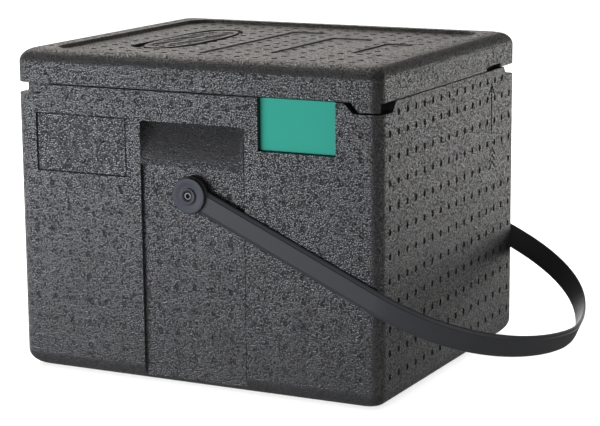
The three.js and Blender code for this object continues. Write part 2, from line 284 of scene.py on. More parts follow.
def scoop_depth(z):
    p = SCOOP_PROFILE
    return float(np.interp(z, [a for a, _ in p], [b for _, b in p]))


def scoop(place=on_front):
    """Hand scoop: steep at the top and the ends, running out softly at the bottom."""
    insets = [-0.5, 0.0, 0.35, 0.8, 1.3, 1.9, 2.6, 3.5, 4.6, 6.0, 7.8, 10.0, 12.5, 15.5, 19.0, 22.5, 24.4]
    cz = (SCOOP_T + SCOOP_B) / 2
    hz = (SCOOP_T - SCOOP_B) / 2
    n_long, n_high, n_arc = 10, 14, 7
    rings = []
    for k, s in enumerate(insets):
        hx, hh = SCOOP_X - s, hz - s
        pts = []
        corners = ((1, 1, 3.0), (-1, 1, 3.0), (-1, -1, 11.0), (1, -1, 11.0))
        for c, (sx, sy, r0) in enumerate(corners):
            r = max(0.06, min(r0 - s if r0 - s > 0.06 else 0.06, hh - 0.01))
            arc = []
            for i in range(n_arc + 1):
                a = math.radians(90 * c + 90 * i / n_arc)
                arc.append((sx * (hx - r) + r * math.cos(a), sy * (hh - r) + r * math.sin(a)))
            pts += arc
            nx, ny = corners[(c + 1) % 4][:2]
            r1 = max(0.06, min(corners[(c + 1) % 4][2] - s, hh - 0.01))
            a = math.radians(90 * (c + 1))
            nxt = (nx * (hx - r1) + r1 * math.cos(a), ny * (hh - r1) + r1 * math.sin(a))
            cnt = n_long if c in (0, 2) else n_high
            for i in range(1, cnt):
                t = i / cnt
                pts.append((arc[-1][0] * (1 - t) + nxt[0] * t, arc[-1][1] * (1 - t) + nxt[1] * t))
        if k == 0:
            rings.append([place(x, cz + y, 1.5) for x, y in pts])
            continue
        out = []
        for x, y in pts:
            z = cz + y
            wall = 5.5 * s + 0.02
            d = scoop_depth(z)
            # wall distance counts from the ends and the top, not from the soft bottom
            to_wall = SCOOP_X - abs(x)
            cx, cb = SCOOP_X - 11.0, SCOOP_B + 11.0
            if abs(x) > cx and z < cb:
                to_wall = min(to_wall, 11.0 - math.hypot(abs(x) - cx, z - cb))
            d *= 1 - math.exp(-max(0.0, to_wall) / 3.0)
            wall = 7.0 * max(0.0, SCOOP_T - z)
            depth = max(0.0, smooth_min(d, wall, min(3.0, d))) if d > 1.0 else min(d, wall)
            out.append(place(x, z, -depth if s > 0 else 0.0 + (0.0)))
        rings.append(out)
    return loft(rings)


def body_mesh():
    rings = []
    steps = 10
    for i in range(steps + 1):
        a = math.pi / 2 * i / steps
        inset = R_BOTTOM * (1 - math.sin(a))
        rings.append(ring(W - inset, D - inset, R_CORNER, R_BOTTOM * (1 - math.cos(a)), 10))
    rings.append(ring(W, D, R_CORNER, SEAM - 0.9, 10))
    rings.append(ring(W - 0.25, D - 0.25, R_CORNER, SEAM - 0.25, 10))
    rings.append(ring(W - 0.9, D - 0.9, R_CORNER, SEAM, 10))
    ob = mesh_object("foam_body", *loft(rings))

    # food cavity
    f = 7.0
    rings = []
    for i in range(7):
        a = math.pi / 2 * i / 6
        inset = f * (1 - math.sin(a))
        rings.append(ring(CAV_X - inset, CAV_Y - inset, CAV_R - inset * 0.6,
                          CAV_Z + f * (1 - math.cos(a)), 10))
    rings.append(ring(CAV_X, CAV_Y, CAV_R, SEAM - 0.8, 10))
    rings.append(ring(CAV_X + 0.8, CAV_Y + 0.8, CAV_R + 0.8, SEAM, 10))
    rings.append(ring(CAV_X + 0.8, CAV_Y + 0.8, CAV_R + 0.8, SEAM + 5, 10))
    boolean(ob, loft(rings))

    # centre panels and scoops, front and back
    panel = sunk(on_front, 0, 104, 55.3, 109, 0.3, 3.5, run=0.3, lip=0.3, fillet=0.8)
    boolean(ob, joined([panel, spin(panel)]))
    boolean(ob, joined([scoop(on_front), scoop(on_back)]))

    # corner notches in the rim
    big = 220
    cuts = []
    for sx in (1, -1):
        for sy in (1, -1):
            def corner(px, py, z):
                return (sx * px, sy * py, z)
            x_low, x_top, y_low, y_top = 167.7, 157.3, 139.4, 132.3
            zb, zt = 273.3, SEAM
            k = (SEAM + 1 - zb) / (zt - zb)
            xt, yt = x_low + (x_top - x_low) * k, y_low + (y_top - y_low) * k
            lower = [corner(x_low, y_low, zb), corner(big, y_low, zb), corner(big, big, zb), corner(x_low, big, zb)]
            upper = [corner(xt, yt, zt + 1), corner(big, yt, zt + 1), corner(big, big, zt + 1), corner(xt, big, zt + 1)]
            cuts.append(loft([lower, upper]))
    boolean(ob, joined(cuts))

    # label fields
    cuts = [sunk(on_front, -121.85, 227.05, 50.55, 28.45, 1.0, 1.3, run=0.15, lip=0.3, fillet=0.25)]
    cuts.append(sunk(on_front, 110.1, 233.4 + 40, 39.6, 40.0, 0.6, 6.2, run=0.1, lip=0.3, fillet=0.3))
    boolean(ob, joined(cuts))

    # fine grooves round the plain field and down the right edge of the centre panel
    def v_groove(u0, v0, u1, v1, level, half, deep):
        du, dv = u1 - u0, v1 - v0
        l = math.hypot(du, dv)
        nu, nv = -dv / l, du / l
        rings = []
        for t in (0.0, 1.0):
            u, v = u0 + du * t, v0 + dv * t
            rings.append([on_front(u + nu * a, v + nv * a, w - level) for a, w in
                          ((-half - 0.3, 1.0), (half + 0.3, 1.0), (half, 0.0), (0.18 * half, -deep), (-0.18 * half, -deep),
                           (-half, 0.0))])
        return loft(rings)
    x0, x1, z0, z1 = -172.1, -71.7, 198.9, 255.2
    for g in (((x0, z0 - 0.4, x0, z1 + 0.4), 0.55, 1.1), ((x0 - 0.4, z1 - 0.5, x1 + 0.1, z1 - 0.5), 0.75, 1.7),
              ((x0 - 0.4, z0, x1 + 0.3, z0), 0.55, 1.1), ((x1 - 0.7, z0 - 0.3, x1 - 0.7, z1), 0.65, 1.3)):
        boolean(ob, v_groove(*g[0], 1.3, g[1], g[2]))
    boolean(ob, v_groove(55.75, 10, 55.75, 253.6, 0.0, 0.5, 0.9))

    # sleeve bores and their pockets
    boolean(ob, rod(5.8, -D - 5, D + 5))
    boolean(ob, rod(17.3, -142.5, 142.5))

    # vent pits
    pits, vents = [], []
    ys = [-146 + 19.5 * k for k in range(16)]
    zs = [272.5] + [254.7 - 22.6 * k for k in range(11)]
    for z in zs:
        for y in ys:
            if z > 270 and abs(y) > 128:
                continue
            if abs(y - 99.5) < 7 and 215 < z < 276:
                continue
            if 76 < y < 128 and 183 < z < 207:
                continue
            pits.append(pit(on_right, y, z, r=2.5, depth=1.0, tall=1.32))
            vents.append((on_right(y, z, 0), (-1, 0, 0), 3.35))
    for z in zs:
        for y in ys:
            if z > 270 and abs(y) > 128:
                continue
            pits.append(pit(on_left, y, z, r=2.5, depth=1.0, tall=1.32))
            vents.append((on_left(y, z, 0), (1, 0, 0), 3.35))
    for place, marked in ((on_front, True), (on_back, False)):
        for z in zs:
            for k in range(19):
                x = -175.5 + 19.5 * k
                if z > 270 and abs(x) > 152:
                    continue
                deep = 0.0
                if abs(x) < 55.3 + 5 and z < 259:
                    if abs(x) > 50 or z > 200 or math.hypot(x, z - PIVOT_Z) < 24:
                        continue
                    deep = 3.5
                if marked and -178 < x < -66 and (193.5 < z < 260.5):
                    if not (-168 < x < -76 and 203 < z < 251):
                        continue
                    deep = 1.3
                if marked and 64 < x < 155 and z > 228:
                    continue
                pits.append(pit(lambda u, v, w, p=place, d=deep: p(u, v, w - d), x, z, r=2.7, depth=0.55))
                vents.append((place(x, z, -deep), (0, 1 if place is on_front else -1, 0), 2.7))
    boolean(ob, joined(pits))

    # engraved arrow and lift marks on the right end
    groove = sunk(on_right, 99.3, 243.5, 1.1, 25.0, 1.1, 1.0, run=0.1, lip=0.25, seg=6)
    boolean(ob, groove)
    for side in (-1, 1):
        arm = []
        for off, w in ((0.2, 1.0), (0.2, 0.0), (0.0, -0.2), (-0.2, -1.0)):
            pts = rounded(1.0 + off, 6.0 + off, 1.0 + off, 6)
            a = math.radians(side * 33)
            c, s = math.cos(a), math.sin(a)
            arm.append([on_right(99.3 + side * 3.1 + x * c - y * s, 264.3 + x * s + y * c, w)
                        for x, y in pts])
        boolean(ob, loft(arm))
    for k in range(3):
        for side in (-1, 1):
            arm = []
            for off, w in ((0.2, 1.0), (0.2, 0.0), (0.0, -0.2), (-0.2, -0.9)):
                pts = rounded(0.8 + off, 5.4 + off, 0.8 + off, 5)
                a = math.radians(side * 48)
                c, s = math.cos(a), math.sin(a)
                arm.append([on_right(102 + side * 3.7 + x * c - y * s, 187.5 + 6.6 * k + x * s + y * c, w)
                            for x, y in pts])
            boolean(ob, loft(arm))
    return settle(ob, vents=vents)


# ----------------------------------------------------------------------- lid
def lid_mesh():
    z0 = SEAM + GAP
    rings = [ring(W - 0.8, D - 0.8, R_CORNER, z0, 10),
             ring(W - 0.2, D - 0.2, R_CORNER, z0 + 0.25, 10),
             ring(W, D, R_CORNER, z0 + 0.9, 10)]
    steps = 12
    for i in range(steps + 1):
        a = math.pi / 2 * i / steps
        inset = R_TOP * (1 - math.cos(a))
        rings.append(ring(W - inset, D - inset, R_CORNER, H - R_TOP * (1 - math.sin(a)), 10))
    # fine crease where the rounding meets the flat rim
    for inset, z in ((0.35, H - 0.28), (0.6, H - 0.62), (0.85, H - 0.62), (1.15, H - 0.2), (1.6, H)):
        rings.append(ring(W - R_TOP - inset, D - R_TOP - inset, R_CORNER - 1, z, 10))
    ob = mesh_object("foam_lid", *loft(rings))

    # sunken panel: rounded crest edge, sloping wall, filleted foot
    px, py = 168.5, 145.0
    prof = [(1.0, 2.0), (1.0, 0.0), (0.4, -0.12), (0.0, -0.45), (-1.9, -3.5), (-2.5, -3.87), (-3.3, -4.0)]
    boolean(ob, loft([[(x, y, H + w) for x, y in rounded(px + o, py + o, 24 + o, 12)]
                      for o, w in prof]))
    floor = flat_at(H - 4.0)
    cuts = [
        sunk(floor, -9.5, 2.5, 19.5, 102.5, 3.0, 1.3, run=0.5, lip=0.3),
        sunk(floor, 57.0, -1.5, 23.0, 71.5, 3.0, 1.3, run=0.5, lip=0.3),
        sunk(floor, 121.0, 1.0, 15.0, 44.0, 3.0, 1.3, run=0.5, lip=0.3),
    ]
    boolean(ob, joined(cuts))

    # leaf-shaped recess on the left with a raised oval inside it, cross-slotted
    zf = H - 4.0
    knots = [(-121.6, -66), (-121.9, -30), (-121.9, 20), (-121.4, 60), (-117.5, 80), (-108, 91), (-97, 94), (-87, 91.5),
             (-78, 83), (-70, 64), (-64, 30), (-61.5, -10), (-62.5, -40), (-67, -64), (-76, -78), (-92, -84.5),
             (-108, -82), (-118, -75)]
    leaf = []
    for i in range(len(knots)):
        q0, q1, q2, q3 = (np.array(knots[(i + j) % len(knots)], float) for j in (-1, 0, 1, 2))
        for j in range(6):
            t = j / 6
            leaf.append(0.5 * (2 * q1 + (q2 - q0) * t + (2 * q0 - 5 * q1 + 4 * q2 - q3) * t * t +
                               (3 * q1 - 3 * q2 + q3 - q0) * t ** 3))
    mid = np.array([-92.0, 5.0])

    def leaf_ring(off, w):
        out = []
        for q in leaf:
            d = q - mid
            out.append((*(mid + d * (1 + off / np.linalg.norm(d))), zf + w))
        return out
    boolean(ob, loft([leaf_ring(o, w) for o, w in ((0.3, 1.0), (0.3, 0.0), (0.0, -0.25), (-0.8, -2.6), (-1.4, -3.0))]))

    def oval_at(y, inset=0.0):
        """Half width of the oval at y."""
        hy = (86.0 if y > 2.0 else 78.0) - inset
        return (24.8 - inset) * max(0.0, 1 - (abs(y - 2.0) / hy) ** 2.4) ** (1 / 2.4)

    def oval(inset, w, n=96):
        out = []
        for i in range(n):
            a = 2 * math.pi * i / n
            c, q = math.cos(a), math.sin(a)
            hy = (86.0 if q > 0 else 78.0) - inset
            out.append((-94.8 + (24.8 - inset) * math.copysign(abs(c) ** (2 / 2.4), c),
                        2.0 + hy * math.copysign(abs(q) ** (2 / 2.4), q), zf + w))
        return out
    boolean(ob, loft([oval(0, -3.8), oval(0.1, -0.55), oval(0.35, -0.25), oval(0.8, -0.15)]), "UNION")
    slots = []
    for k in range(13):
        for side in (-1, 1):
            y = -67.0 + 12.0 * k + 2.6 * side
            reach = min(oval_at(y + 3, 4.0), oval_at(y - 3, 4.0))
            x0, x1 = 1.3 + 1.5 * ((k * 7 + side) % 3), reach - 0.8 * ((k * 5 + side) % 4)
            if x1 - x0 > 5.0:
                slots.append(sunk(flat_at(zf - 0.15), -94.8 + side * (x0 + x1) / 2, y, (x1 - x0) / 2, 3.5, 1.6, 1.5,
                                  run=0.2, lip=0.25, seg=4, fillet=0.2))
    boolean(ob, joined(slots))

    # vent pits over the top
    pits, vents = [], []
    for i in range(17):
        for j in range(14):
            x, y = -160 + 20.0 * i, -130 + 20.0 * j
            if abs(x) > 154 or abs(y) > 131:
                continue
            depth = 0.0
            if -80 < y < 99 and -127.5 < x < -64.5:
                continue
            skip = False
            for cx, cy, hx, hy in ((-9.5, 2.5, 19.5, 102.5), (57.0, -1.5, 23.0, 71.5), (121.0, 1.0, 15.0, 44.0)):
                if abs(x - cx) < hx + 5 and abs(y - cy) < hy + 5:
                    if abs(x - cx) < hx - 4.6 and abs(y - cy) < hy - 4.6:
                        depth = 1.3
                    else:
                        skip = True
            if skip:
                continue
            pits.append(pit(lambda u, v, w, d=depth: (u, v, zf + w - d), x, y, r=3.2, depth=1.5))
            vents.append(((x, y, zf - depth), (0, 0, -1), 3.2))
    for sx in (-1, 1):
        for j in range(14):
            x, y = sx * 175.6, -130 + 20.0 * j
            pits.append(pit(flat_at(H), x, y, r=2.3, depth=1.2))
            vents.append(((x, y, H), (0, 0, -1), 2.3))
    for i in range(17):
        x, y = -160 + 20.0 * i, 148.6
        pits.append(pit(flat_at(H), x, y, r=1.7, depth=1.0))
        vents.append(((x, y, H), (0, 0, -1), 1.7))
    boolean(ob, joined(pits))

    # plug that drops into the cavity
    hx, hy = CAV_X - 1.2, CAV_Y - 1.2
    plug = loft([ring(hx - 4.2, hy - 4.2, CAV_R - 3, SEAM - 9, 8), ring(hx - 3, hy - 3, CAV_R - 2, SEAM - 8.6, 8),
                 ring(hx, hy, CAV_R, SEAM - 5, 8), ring(hx, hy, CAV_R, z0 + 4, 8)])
    boolean(ob, plug, "UNION")
    under = sunk(lambda u, v, w: (u, v, SEAM - 9 - w), 0, 0, 120, 92, 14, 2.0, run=1.0, lip=0.4)
    boolean(ob, under)

    # corner tongues, clipped to the outline
    def tongue(x_top, x_low, x_end, y0, y1):
        pts = [(x_top, z0 + 2), (x_low, 275.0), (x_end, 275.0), (x_end, z0 + 2)]
        t = mesh_object("tongue", *prism_y(pts, y0, y1))
        outline = loft([ring(W - 0.02, D - 0.02, R_CORNER, 260, 10), ring(W - 0.02, D - 0.02, R_CORNER, z0 + 3, 10)])
        boolean(t, outline, "INTERSECT")
        v = [tuple(p.co) for p in t.data.vertices]
        f = [tuple(p.vertices) for p in t.data.polygons]
        data = t.data
        bpy.data.objects.remove(t)
        bpy.data.meshes.remove(data)
        return v, f
    for args in ((163.5, 172.8, 200, -D - 2, -D + 4.5), (-155.2, -166.4, -180, -D - 2, -D + 5.5),
                 (-163.5, -172.8, -200, D - 4.5, D + 2), (155.2, 166.4, 180, D - 5.5, D + 2)):
        boolean(ob, tongue(*args), "UNION")

    # finger slot under the right end, and the small hook mark above it
    slot = loft([[(x, y, z) for x, y in rounded(12, 19 - o, 1.5, 5, 195 + 5 + o * 0, 104)]
                 for z, o in ((SEAM - 4, 0), (SEAM + 4.2, 0), (SEAM + 5.0, 0.6))])
    boolean(ob, slot)
    hook = [sunk(on_right, 101.5, 300.0, 0.8, 4.6, 0.8, 0.8, run=0.1, lip=0.2, seg=5)]
    boolean(ob, joined(hook))
    settle(ob, vents=vents)
    # the sides of the oval and its slots are dull
    for poly in ob.data.polygons:
        c = poly.center * 1000
        if zf - 2.98 < c.z < zf - 0.2 and -81 < c.y < 92 and abs(c.x + 94.8) < oval_at(c.y) + 0.3:
            poly.material_index = 1
    return ob


body = body_mesh()
lid = lid_mesh()

# --------------------------------------------------------------------- strap
DROP = math.radians(24)
ALONG = np.array([math.cos(DROP), 0, -math.sin(DROP)])
ACROSS = np.array([math.sin(DROP), 0, math.cos(DROP)])
PIVOT = np.array([0, 0, PIVOT_Z])
STRAP_Y = 167.4


def strap_line():
    p0 = (205.7, STRAP_Y)
    p1 = (p0[0] + 117.6 * math.cos(-0.012), p0[1] + 117.6 * math.sin(-0.012))
    p2, p3 = (347.0, 32.4), (347.0, 0.0)
    half = [(s, STRAP_Y) for s in (0, 25, 50, 80, 110, 140, 170)]
    n = 64
    for i in range(n + 1):
        t = i / n
        u = 1 - t
        half.append(tuple(u ** 3 * p0[k] + 3 * u * u * t * p1[k] + 3 * u * t * t * p2[k] + t ** 3 * p3[k]
                          for k in (0, 1)))
    front = [(s, -y) for s, y in half]
    return front + half[:-1][::-1]


# Section points (across, out): inner face flat, outer face a raised band with a bead
# on each side and borders that fall away to the edges.
def strap_section():
    half = [(0.0, 1.42), (4.0, 1.42), (6.9, 1.43), (7.3, 1.5), (7.55, 1.48), (7.75, 1.3), (8.0, 0.98), (8.4, 0.8),
            (9.0, 0.62), (9.7, 0.4), (10.4, 0.16), (10.9, -0.1), (11.25, -0.42), (11.45, -0.75), (11.5, -0.95),
            (11.42, -1.22), (11.2, -1.42), (10.8, -1.5), (6.0, -1.5), (0.0, -1.5)]
    right = half
    left = [(-a, o) for a, o in half[1:-1]][::-1]
    return right + left


def strap_mesh():
    line = strap_line()
    section = strap_section()
    rings = []
    for i, (s, y) in enumerate(line):
        a, b = line[max(0, i - 1)], line[min(len(line) - 1, i + 1)]
        tx, ty = b[0] - a[0], b[1] - a[1]
        l = math.hypot(tx, ty)
        nx, ny = ty / l, -tx / l
        out = []
        for w, o in section:
            ss, yy = s + nx * o, y + ny * o
            p = PIVOT + ALONG * ss + ACROSS * w
            out.append((p[0], yy, p[2]))
        rings.append(out)
    ob = mesh_object("carry_strap", *loft(rings))
    for side in (-1, 1):
        prof = [(0.0 + 1.0, 165.95), (17.6, 165.95), (18.2, 166.15), (18.4, 166.6), (18.4, 167.9), (18.2, 168.45),
                (17.7, 168.7), (17.0, 168.78), (1.0, 168.78)]
        disc = turned([(r, y) for r, y in prof], 96, side)
        # fill the middle so that the union is one solid
        boolean(ob, loft([[(r * math.cos(2 * math.pi * i / 96), side * y, PIVOT_Z + r * math.sin(2 * math.pi * i / 96))
                           for i in range(96)] for r, y in prof[1:-1]]), "UNION")
    boolean(ob, rod(6.3, -200, 200, seg=64))
    return settle(ob, angle=38, dissolve=0.05)


strap = strap_mesh()


# ------------------------------------------------------------ pivot hardware
def lathe_object(name, profile, side, seg=96, angle=35):
    ob = mesh_object(name, *turned(profile, seg, side))
    return settle(ob, angle=angle, dissolve=0)


def arc(cx, cy, r, a0, a1, n):
    return [(cx + r * math.cos(math.radians(a0 + (a1 - a0) * i / n)),
             cy + r * math.sin(math.radians(a0 + (a1 - a0) * i / n))) for i in range(n + 1)]


hardware = []
for side, tag in ((-1, "front"), (1, "back")):
    prof = [(6.2, 169.2), (16.7, 169.2), (17.05, 169.35), (17.25, 169.7)]
    prof += arc(16.35, 171.2, 0.9, 0, 80, 5)
    prof += [(15.0, 172.17), (13.0, 172.05), (11.0, 171.85), (9.6, 171.7), (9.0, 171.72), (8.6, 171.9),
             (6.9, 171.9), (6.2, 171.9)]
    disc = lathe_object("disc_cap_" + tag, prof, side)
    prof = [(2.4, 169.5), (5.9, 169.5), (5.9, 172.35), (7.5, 172.35), (7.8, 172.5)]
    prof += arc(7.3, 172.7, 0.5, 0, 90, 5)
    prof += [(6.2, 173.2), (5.6, 173.12), (5.2, 172.9), (4.5, 172.75), (4.5, 170.6), (2.4, 170.6)]
    collar = lathe_object("disc_collar_" + tag, prof, side)

    # socket-head screw
    seg = 72
    head = [(4.1, 170.9), (4.1, 172.0), (4.02, 172.22), (3.8, 172.4), (3.45, 172.53), (3.1, 172.59), (2.8, 172.6)]
    screw = mesh_object("socket_screw_" + tag, *loft(
        [[(r * math.cos(2 * math.pi * i / seg), side * y, PIVOT_Z + r * math.sin(2 * math.pi * i / seg))
          for i in range(seg)] for r, y in [(1.6, 146.0), (2.0, 146.6), (2.0, 170.9)] + head]))
    hexr = 2.0 / math.cos(math.radians(30))
    boolean(screw, loft([[(q * hexr * math.cos(math.radians(60 * i + 10)), side * y,
                           PIVOT_Z + q * hexr * math.sin(math.radians(60 * i + 10))) for i in range(6)]
                         for q, y in ((1.12, 173.2), (1.12, 172.6), (1.0, 172.45), (1.0, 171.2))]))
    settle(screw, angle=30, dissolve=0)
    # painted shade: the hex socket faces take a near-black plastic in place of the steel, standing in for the shade
    # inside the socket
    for poly in screw.data.polygons:
        c = poly.center * 1000
        if abs(c.y) > 171.0 and math.hypot(c.x, c.z - PIVOT_Z) < hexr * 0.99 and abs(c.y) < 172.5:
            poly.material_index = 1
    hardware.append((disc, collar, screw, tag))

# label plate with rounded edges
rings = []
for off, y in ((-0.3, -159.1), (0.0, -159.3), (0.0, -160.1), (-0.1, -160.35), (-0.4, -160.5)):
    rings.append([(x, y, z) for x, z in rounded(39.2 + off, (282.6 - 233.8) / 2 + off, 1.2 + off, 6,
                                                110.1, (282.6 + 233.8) / 2)])
lp_lo, lp_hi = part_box("label_plate")
label = mesh_object("label_card", *loft(rings))
settle(label, angle=30, dissolve=0)


# ----------------------------------------------------------------- materials
def material(name):
    m = bpy.data.materials.new(name)
    m.use_nodes = True
    t = m.node_tree
    t.nodes.clear()
    out = t.nodes.new("ShaderNodeOutputMaterial")
    b = t.nodes.new("ShaderNodeBsdfPrincipled")
    t.links.new(b.outputs[0], out.inputs[0])
    return m, t, b


def foam_material(name, crease_shade_tone, low, high, bead_rough=(0.26, 0.38), relief_mm=0.27, gloss_level=1.0):
    """Moulded bead foam: packed beads of uneven tone, with painted shade darkening the creases between them."""
    m, t, b = material(name)
    N, L = t.nodes, t.links

    def math_node(op, a=None, c=None, d=None, clamp=False):
        n = N.new("ShaderNodeMath")
        n.operation = op
        n.use_clamp = clamp
        for i, v in enumerate((a, c, d)):
            if v is None:
                continue
            if isinstance(v, (int, float)):
                n.inputs[i].default_value = v
            else:
                L.new(v, n.inputs[i])
        return n.outputs[0]

    def ranged(value, f0, f1, t0, t1, smooth=False):
        n = N.new("ShaderNodeMapRange")
        if smooth:
            n.interpolation_type = "SMOOTHSTEP"
        n.inputs["From Min"].default_value = f0
        n.inputs["From Max"].default_value = f1
        n.inputs["To Min"].default_value = t0
        n.inputs["To Max"].default_value = t1
        L.new(value, n.inputs["Value"])
        return n.outputs["Result"]

    tc = N.new("ShaderNodeTexCoord")
    # beads are squashed a little unevenly
    warp = N.new("ShaderNodeTexNoise")
    warp.inputs["Scale"].default_value = 380
    warp.inputs["Detail"].default_value = 1
    L.new(tc.outputs["Object"], warp.inputs["Vector"])
    sub = N.new("ShaderNodeVectorMath")
    sub.operation = "SUBTRACT"
    sub.inputs[1].default_value = (0.5, 0.5, 0.5)
    L.new(warp.outputs["Color"], sub.inputs[0])
    sc = N.new("ShaderNodeVectorMath")
    sc.operation = "SCALE"
    sc.inputs["Scale"].default_value = 0.0011
    L.new(sub.outputs[0], sc.inputs[0])
    add = N.new("ShaderNodeVectorMath")
    add.operation = "ADD"
    L.new(tc.outputs["Object"], add.inputs[0])
    L.new(sc.outputs[0], add.inputs[1])
    bead = N.new("ShaderNodeTexVoronoi")
    bead.feature = "F1"
    bead.inputs["Scale"].default_value = 610
    L.new(add.outputs[0], bead.inputs["Vector"])
    edge = N.new("ShaderNodeTexVoronoi")
    edge.feature = "DISTANCE_TO_EDGE"
    edge.inputs["Scale"].default_value = 610
    L.new(add.outputs[0], edge.inputs["Vector"])
    gap = ranged(edge.outputs["Distance"], 0.0, 0.2, 0.0, 1.0, True)
    sep = N.new("ShaderNodeSeparateColor")
    L.new(bead.outputs["Color"], sep.inputs[0])
    fine = N.new("ShaderNodeTexNoise")
    fine.inputs["Scale"].default_value = 1300
    fine.inputs["Detail"].default_value = 3
    L.new(tc.outputs["Object"], fine.inputs["Vector"])
    broad = N.new("ShaderNodeTexNoise")
    broad.inputs["Scale"].default_value = 24
    broad.inputs["Detail"].default_value = 4
    L.new(tc.outputs["Object"], broad.inputs["Vector"])

    # tone: most beads are dark, some stand out
    tone = math_node("POWER", sep.outputs[0], 1.6)
    tone = math_node("MULTIPLY_ADD", tone, 0.85, math_node("MULTIPLY_ADD", broad.outputs["Fac"], 0.3, -0.05))
    tone = math_node("MULTIPLY_ADD", fine.outputs["Fac"], 0.5, math_node("SUBTRACT", tone, 0.22), clamp=True)
    mix = N.new("ShaderNodeMix")
    mix.data_type = "RGBA"
    mix.inputs["A"].default_value = (*low, 1)
    mix.inputs["B"].default_value = (*high, 1)
    L.new(tone, mix.inputs["Factor"])
    # painted shade: the creases between beads take a near-black tone that stands in for the shade falling in them
    crease_shade_mix = N.new("ShaderNodeMix")
    crease_shade_mix.data_type = "RGBA"
    crease_shade_mix.inputs["A"].default_value = (*crease_shade_tone, 1)
    L.new(mix.outputs["Result"], crease_shade_mix.inputs["B"])
    L.new(gap, crease_shade_mix.inputs["Factor"])
    L.new(crease_shade_mix.outputs["Result"], b.inputs["Base Color"])

    # skin of each bead has its own gloss; creases are dull
    gloss = ranged(sep.outputs[1], 0.0, 1.0, *bead_rough)
    worn = ranged(sep.outputs[1], 0.74, 0.9, 0.0, 0.34)
    gloss = math_node("ADD", gloss, worn)
    dull = math_node("MULTIPLY", math_node("SUBTRACT", 1.0, gap), 0.45)
    L.new(math_node("ADD", gloss, dull, clamp=True), b.inputs["Roughness"])

    # relief: domed beads at slightly different heights, plus a fine skin
    dome = math_node("MULTIPLY", bead.outputs["Distance"], bead.outputs["Distance"])
    relief = math_node("SUBTRACT", gap, dome)
    relief = math_node("MULTIPLY_ADD", sep.outputs[2], 0.5, relief)
    relief = math_node("MULTIPLY_ADD", fine.outputs["Fac"], 0.3, relief)
    bump = N.new("ShaderNodeBump")
    bump.inputs["Strength"].default_value = 1.0
    bump.inputs["Distance"].default_value = relief_mm / 1000
    L.new(relief, bump.inputs["Height"])
    L.new(bump.outputs[0], b.inputs["Normal"])
    b.inputs["IOR"].default_value = 1.5
    b.inputs["Specular IOR Level"].default_value = gloss_level
    return m


def plastic_material(name, colour, rough=0.4, grain=0.25, scale=900.0, vary=0.12, gloss_level=0.5):
    m, t, b = material(name)
    N, L = t.nodes, t.links
    tc = N.new("ShaderNodeTexCoord")
    fine = N.new("ShaderNodeTexNoise")
    fine.inputs["Scale"].default_value = scale
    fine.inputs["Detail"].default_value = 4
    L.new(tc.outputs["Object"], fine.inputs["Vector"])
    broad = N.new("ShaderNodeTexNoise")
    broad.inputs["Scale"].default_value = 22
    broad.inputs["Detail"].default_value = 3
    L.new(tc.outputs["Object"], broad.inputs["Vector"])
    mix = N.new("ShaderNodeMix")
    mix.data_type = "RGBA"
    lo = tuple(c * (1 - vary) for c in colour)
    hi = tuple(min(1, c * (1 + vary)) for c in colour)
    mix.inputs["A"].default_value = (*lo, 1)
    mix.inputs["B"].default_value = (*hi, 1)
    L.new(broad.outputs["Fac"], mix.inputs["Factor"])
    L.new(mix.outputs["Result"], b.inputs["Base Color"])
    r = N.new("ShaderNodeMapRange")
    r.inputs["To Min"].default_value = rough - 0.06
    r.inputs["To Max"].default_value = rough + 0.08
    L.new(broad.outputs["Fac"], r.inputs["Value"])
    L.new(r.outputs[0], b.inputs["Roughness"])
    bump = N.new("ShaderNodeBump")
    bump.inputs["Strength"].default_value = grain
    bump.inputs["Distance"].default_value = 0.00008
    L.new(fine.outputs["Fac"], bump.inputs["Height"])
    L.new(bump.outputs[0], b.inputs["Normal"])
    b.inputs["Specular IOR Level"].default_value = gloss_level
    return m


def steel_material(name):
    m, t, b = material(name)
    N, L = t.nodes, t.links
    tc = N.new("ShaderNodeTexCoord")
    n = N.new("ShaderNodeTexNoise")
    n.inputs["Scale"].default_value = 1800
    n.inputs["Detail"].default_value = 4
    L.new(tc.outputs["Object"], n.inputs["Vector"])
    mix = N.new("ShaderNodeMix")
    mix.data_type = "RGBA"
    mix.inputs["A"].default_value = (0.06, 0.06, 0.06, 1)
    mix.inputs["B"].default_value = (0.1, 0.1, 0.1, 1)
    L.new(n.outputs["Fac"], mix.inputs["Factor"])
    L.new(mix.outputs["Result"], b.inputs["Base Color"])
    b.inputs["Metallic"].default_value = 1.0
    r = N.new("ShaderNodeMapRange")
    r.inputs["To Min"].default_value = 0.34
    r.inputs["To Max"].default_value = 0.5
    L.new(n.outputs["Fac"], r.inputs["Value"])
    L.new(r.outputs[0], b.inputs["Roughness"])
    return m


# the first tone of each foam is the painted shade for the creases between beads
foam = foam_material("bead_foam", (0.002, 0.002, 0.0022), (0.005, 0.005, 0.0055), (0.034, 0.034, 0.037))
foam_top = foam_material("bead_foam_lid", (0.002, 0.002, 0.002), (0.005, 0.005, 0.0052), (0.034, 0.033, 0.033))
vent = foam_material("vent_foam", (0.002, 0.002, 0.002), (0.005, 0.005, 0.005), (0.062, 0.062, 0.063),
                     bead_rough=(0.5, 0.7), gloss_level=0.5)
soft_vent = foam_material("soft_vent_foam", (0.002, 0.002, 0.0022), (0.005, 0.005, 0.0055), (0.032, 0.032, 0.035),
                          bead_rough=(0.3, 0.42), gloss_level=0.85)
strap_mat = plastic_material("strap_plastic", (0.042, 0.0435, 0.0475), 0.4, gloss_level=0.14)
disc_mat = plastic_material("disc_plastic", (0.035, 0.041, 0.052), 0.42, gloss_level=0.2)
nylon_mat = plastic_material("black_nylon", (0.012, 0.012, 0.013), 0.45)
